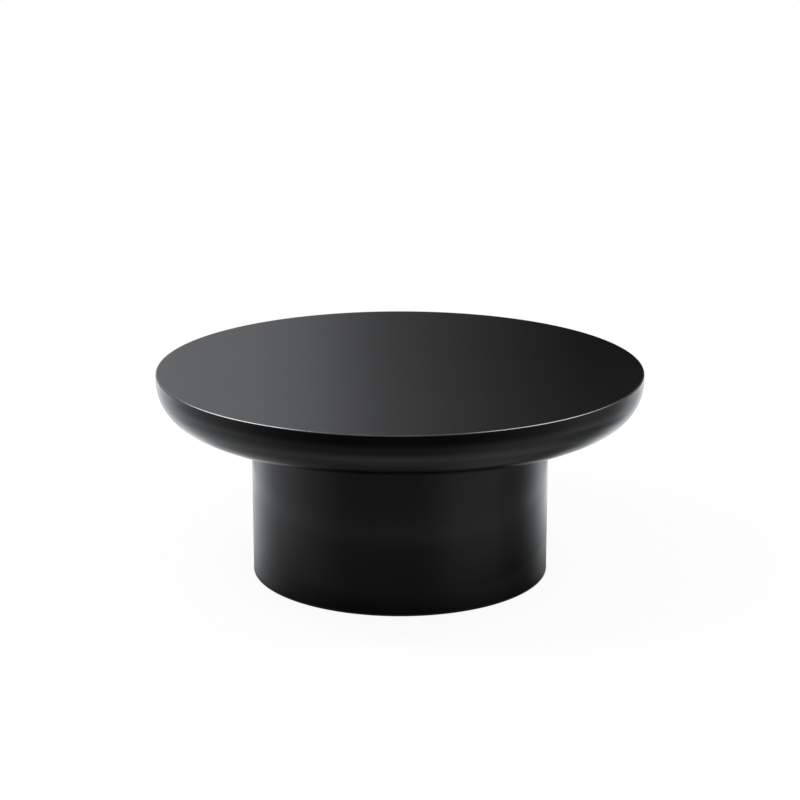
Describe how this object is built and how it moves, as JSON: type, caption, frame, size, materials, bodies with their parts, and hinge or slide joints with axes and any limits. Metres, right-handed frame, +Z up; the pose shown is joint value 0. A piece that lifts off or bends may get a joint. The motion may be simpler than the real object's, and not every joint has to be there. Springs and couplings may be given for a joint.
{
  "type": "round pedestal coffee table",
  "caption": "Low round pedestal table: a thick disc top with a bullnose edge on a plain drum, in satin black lacquer, with levelling feet hidden under the drum.",
  "frame": {"origin": "on the floor, at the centre of the drum and of the top", "axes": "+Z up from the floor to the top. The table is round, so +X and +Y are free; the levelling feet lie on them, and the pictured view looks along +Y."},
  "size_m": [0.6999, 0.7, 0.3],
  "materials": {
    "lacquer": "satin black polyurethane lacquer sprayed on sanded and primed fibreboard",
    "fibreboard": "raw fibreboard",
    "plywood": "sanded birch plywood",
    "pine": "planed pine",
    "beech": "turned beech",
    "zinc": "bright zinc plated steel",
    "brass": "turned brass",
    "pad": "moulded black polyamide",
    "felt": "pressed wool felt"
  },
  "bodies": {
    "table": {"bolt_washers": "zinc", "bottom_former_screws": "zinc", "bottom_panel": "lacquer", "core_hub": "fibreboard", "core_ribs": "fibreboard", "drum_battens": "pine", "drum_bottom_former": "plywood", "drum_shell": "plywood", "drum_skin": "lacquer", "drum_top_former": "plywood", "insert_blocks": "pine", "joint_bolts": "zinc", "leveller_inserts": "brass", "locating_dowels": "beech", "rim_ring_lower": "lacquer", "rim_ring_middle": "lacquer", "rim_ring_upper": "lacquer", "top_former_screws": "zinc", "top_inserts": "brass", "top_panel": "lacquer"},
    "foot_1": {"leveller_pad_1": "pad", "leveller_felt_1": "felt"},
    "stem_1": {"leveller_stem_1": "zinc"},
    "foot_2": {"leveller_pad_2": "pad", "leveller_felt_2": "felt"},
    "stem_2": {"leveller_stem_2": "zinc"},
    "foot_3": {"leveller_pad_3": "pad", "leveller_felt_3": "felt"},
    "stem_3": {"leveller_stem_3": "zinc"},
    "foot_4": {"leveller_pad_4": "pad", "leveller_felt_4": "felt"},
    "stem_4": {"leveller_stem_4": "zinc"}
  },
  "joints": [
    {"name": "foot_1_slide", "type": "slide", "parent": "table", "child": "foot_1", "axis": [0, 0, -1], "range_m": [0, 0.01]},
    {"name": "stem_1_turn", "type": "hinge", "parent": "foot_1", "child": "stem_1", "pos_m": [0.172, 0, 0.0096], "axis": [0, 0, -1], "range_deg": [0, 2880]},
    {"name": "foot_2_slide", "type": "slide", "parent": "table", "child": "foot_2", "axis": [0, 0, -1], "range_m": [0, 0.01]},
    {"name": "stem_2_turn", "type": "hinge", "parent": "foot_2", "child": "stem_2", "pos_m": [0, 0.172, 0.0096], "axis": [0, 0, -1], "range_deg": [0, 2880]},
    {"name": "foot_3_slide", "type": "slide", "parent": "table", "child": "foot_3", "axis": [0, 0, -1], "range_m": [0, 0.01]},
    {"name": "stem_3_turn", "type": "hinge", "parent": "foot_3", "child": "stem_3", "pos_m": [-0.172, 0, 0.0096], "axis": [0, 0, -1], "range_deg": [0, 2880]},
    {"name": "foot_4_slide", "type": "slide", "parent": "table", "child": "foot_4", "axis": [0, 0, -1], "range_m": [0, 0.01]},
    {"name": "stem_4_turn", "type": "hinge", "parent": "foot_4", "child": "stem_4", "pos_m": [0, -0.172, 0.0096], "axis": [0, 0, -1], "range_deg": [0, 2880]}
  ],
  "couplings": [
    {"joint": "stem_1_turn", "follows": "foot_1_slide", "rad_per_m": 5026.5},
    {"joint": "stem_2_turn", "follows": "foot_2_slide", "rad_per_m": 5026.5},
    {"joint": "stem_3_turn", "follows": "foot_3_slide", "rad_per_m": 5026.5},
    {"joint": "stem_4_turn", "follows": "foot_4_slide", "rad_per_m": 5026.5}
  ]
}
